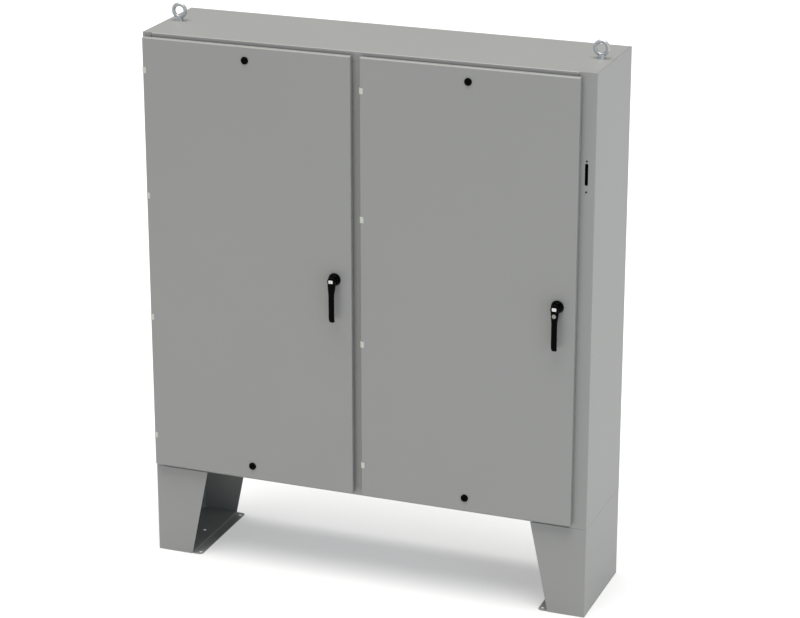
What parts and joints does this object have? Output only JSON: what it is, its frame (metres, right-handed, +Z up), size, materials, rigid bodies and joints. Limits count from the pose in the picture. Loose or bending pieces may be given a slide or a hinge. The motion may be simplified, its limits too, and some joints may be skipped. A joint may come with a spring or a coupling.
{
  "type": "automatic transfer switch",
  "caption": "Free-standing steel cabinet with hinged doors, turning latch handles and lifting eyes, holding a dual-source power transfer switch.",
  "frame": {"origin": "on the floor, at the centre of the four anchor holes and of the enclosure's width and depth", "axes": "+Z up, doors face -Y, +X to the right as seen from the front"},
  "size_m": [1.8542, 0.5192, 2.284],
  "materials": {
    "enclosure_paint": "satin powder coat",
    "hinge_metal": "light grey, satin",
    "zinc_hardware": "bright zinc plate",
    "black_hardware": "black, fine texture",
    "guide_plastic": "natural nylon",
    "lock_steel": "polished",
    "gasket_foam": "closed-cell foam",
    "panel_white": "white enamel",
    "pocket_plastic": "grey",
    "bar_metal": "bare copper",
    "lug_metal": "tin plated",
    "case_plastic": "moulded, fine grain",
    "toggle_plastic": "moulded",
    "controller_plastic": "moulded",
    "screen_glass": "dark display",
    "terminal_plastic": "moulded",
    "duct_plastic": "extruded"
  },
  "bodies": {
    "enclosure": {"side_panel_left": "enclosure_paint", "side_panel_right": "enclosure_paint", "roof_panel": "enclosure_paint", "bottom_panel": "enclosure_paint", "back_panel": "enclosure_paint", "door_collars": "enclosure_paint", "center_post": "enclosure_paint", "stand_bolts": "zinc_hardware", "eyebolts": "zinc_hardware", "eyebolt_nuts": "zinc_hardware", "hinge_leaves": "hinge_metal", "hinge_pins": "hinge_metal", "mounting_panel": "panel_white", "panel_studs": "zinc_hardware", "ground_bar": "bar_metal", "neutral_bar": "bar_metal", "switch_frame": "enclosure_paint", "transfer_operator": "case_plastic", "load_busbars": "bar_metal", "terminal_lugs": "lug_metal", "controller_case": "controller_plastic", "controller_screen": "screen_glass", "terminal_strip": "terminal_plastic", "wire_ducts": "duct_plastic", "source_1_switch": "case_plastic", "source_2_switch": "case_plastic", "floor_stand_left": "enclosure_paint", "floor_stand_right": "enclosure_paint"},
    "door_left": {"door_panel_left": "enclosure_paint", "door_stiffener_left": "enclosure_paint", "door_gasket_left": "gasket_foam", "hinge_arms_left": "hinge_metal", "handle_base_left": "black_hardware", "rod_guides_left": "guide_plastic", "quarter_turn_bodies_left": "black_hardware", "print_pocket": "pocket_plastic"},
    "handle_left": {"handle_lever_left": "black_hardware", "latch_cam_left": "zinc_hardware"},
    "latch_rod_up_left": {"latch_rod_up_left": "zinc_hardware"},
    "latch_rod_down_left": {"latch_rod_down_left": "zinc_hardware"},
    "quarter_turn_upper_left": {"quarter_turn_upper_left": "black_hardware"},
    "quarter_turn_lower_left": {"quarter_turn_lower_left": "black_hardware"},
    "door_right": {"door_panel_right": "enclosure_paint", "door_stiffener_right": "enclosure_paint", "door_gasket_right": "gasket_foam", "hinge_arms_right": "hinge_metal", "handle_base_right": "black_hardware", "rod_guides_right": "guide_plastic", "quarter_turn_bodies_right": "black_hardware"},
    "handle_right": {"handle_lever_right": "black_hardware", "latch_cam_right": "zinc_hardware"},
    "latch_rod_up_right": {"latch_rod_up_right": "zinc_hardware"},
    "latch_rod_down_right": {"latch_rod_down_right": "zinc_hardware"},
    "quarter_turn_upper_right": {"quarter_turn_upper_right": "black_hardware"},
    "quarter_turn_lower_right": {"quarter_turn_lower_right": "black_hardware"},
    "lock": {"lock_cylinder": "lock_steel"},
    "yoke": {"transfer_yoke": "zinc_hardware"},
    "toggle_1": {"toggle_1": "toggle_plastic"},
    "toggle_2": {"toggle_2": "toggle_plastic"}
  },
  "joints": [
    {"name": "door_left_hinge", "type": "hinge", "parent": "enclosure", "child": "door_left", "pos_m": [-0.9126, -0.243, 1.294], "axis": [0, 0, -1], "range_deg": [0, 120]},
    {"name": "handle_left_turn", "type": "hinge", "parent": "door_left", "child": "handle_left", "pos_m": [-0.1146, -0.251, 1.294], "axis": [0, 1, 0], "range_deg": [0, 90]},
    {"name": "latch_rod_up_left_slide", "type": "slide", "parent": "door_left", "child": "latch_rod_up_left", "axis": [0, 0, 1], "range_m": [0, 0.02547]},
    {"name": "latch_rod_down_left_slide", "type": "slide", "parent": "door_left", "child": "latch_rod_down_left", "axis": [0, 0, -1], "range_m": [0, 0.02547]},
    {"name": "quarter_turn_upper_left_turn", "type": "hinge", "parent": "door_left", "child": "quarter_turn_upper_left", "pos_m": [-0.48135, -0.251, 2.14], "axis": [0, 1, 0], "range_deg": [0, 90]},
    {"name": "quarter_turn_lower_left_turn", "type": "hinge", "parent": "door_left", "child": "quarter_turn_lower_left", "pos_m": [-0.48135, -0.251, 0.448], "axis": [0, 1, 0], "range_deg": [0, 90]},
    {"name": "door_right_hinge", "type": "hinge", "parent": "enclosure", "child": "door_right", "pos_m": [0.0004, -0.243, 1.294], "axis": [0, 0, -1], "range_deg": [0, 120]},
    {"name": "handle_right_turn", "type": "hinge", "parent": "door_right", "child": "handle_right", "pos_m": [0.7984, -0.251, 1.294], "axis": [0, 1, 0], "range_deg": [0, 90]},
    {"name": "latch_rod_up_right_slide", "type": "slide", "parent": "door_right", "child": "latch_rod_up_right", "axis": [0, 0, 1], "range_m": [0, 0.02547]},
    {"name": "latch_rod_down_right_slide", "type": "slide", "parent": "door_right", "child": "latch_rod_down_right", "axis": [0, 0, -1], "range_m": [0, 0.02547]},
    {"name": "quarter_turn_upper_right_turn", "type": "hinge", "parent": "door_right", "child": "quarter_turn_upper_right", "pos_m": [0.43165, -0.251, 2.14], "axis": [0, 1, 0], "range_deg": [0, 90]},
    {"name": "quarter_turn_lower_right_turn", "type": "hinge", "parent": "door_right", "child": "quarter_turn_lower_right", "pos_m": [0.43165, -0.251, 0.448], "axis": [0, 1, 0], "range_deg": [0, 90]},
    {"name": "lock_turn", "type": "hinge", "parent": "handle_right", "child": "lock", "pos_m": [0.7984, -0.292, 1.2685], "axis": [0, 1, 0], "range_deg": [0, 90]},
    {"name": "transfer_slide", "type": "slide", "parent": "enclosure", "child": "yoke", "axis": [0, 0, -1], "range_m": [0, 0.02867]},
    {"name": "toggle_1_tilt", "type": "hinge", "parent": "enclosure", "child": "toggle_1", "pos_m": [0.4369, 0.0521, 1.604], "axis": [1, 0, 0], "range_deg": [0, 32.01]},
    {"name": "toggle_2_tilt", "type": "hinge", "parent": "enclosure", "child": "toggle_2", "pos_m": [0.4369, 0.0521, 0.984], "axis": [1, 0, 0], "range_deg": [0, 32.01]}
  ],
  "couplings": [
    {"joint": "latch_rod_up_left_slide", "follows": "handle_left_turn", "m_per_rad": 0.016206},
    {"joint": "latch_rod_down_left_slide", "follows": "handle_left_turn", "m_per_rad": 0.016206},
    {"joint": "latch_rod_up_right_slide", "follows": "handle_right_turn", "m_per_rad": 0.016206},
    {"joint": "latch_rod_down_right_slide", "follows": "handle_right_turn", "m_per_rad": 0.016206},
    {"joint": "toggle_1_tilt", "follows": "transfer_slide", "rad_per_m": 19.477},
    {"joint": "toggle_2_tilt", "follows": "transfer_slide", "rad_per_m": 19.477}
  ]
}
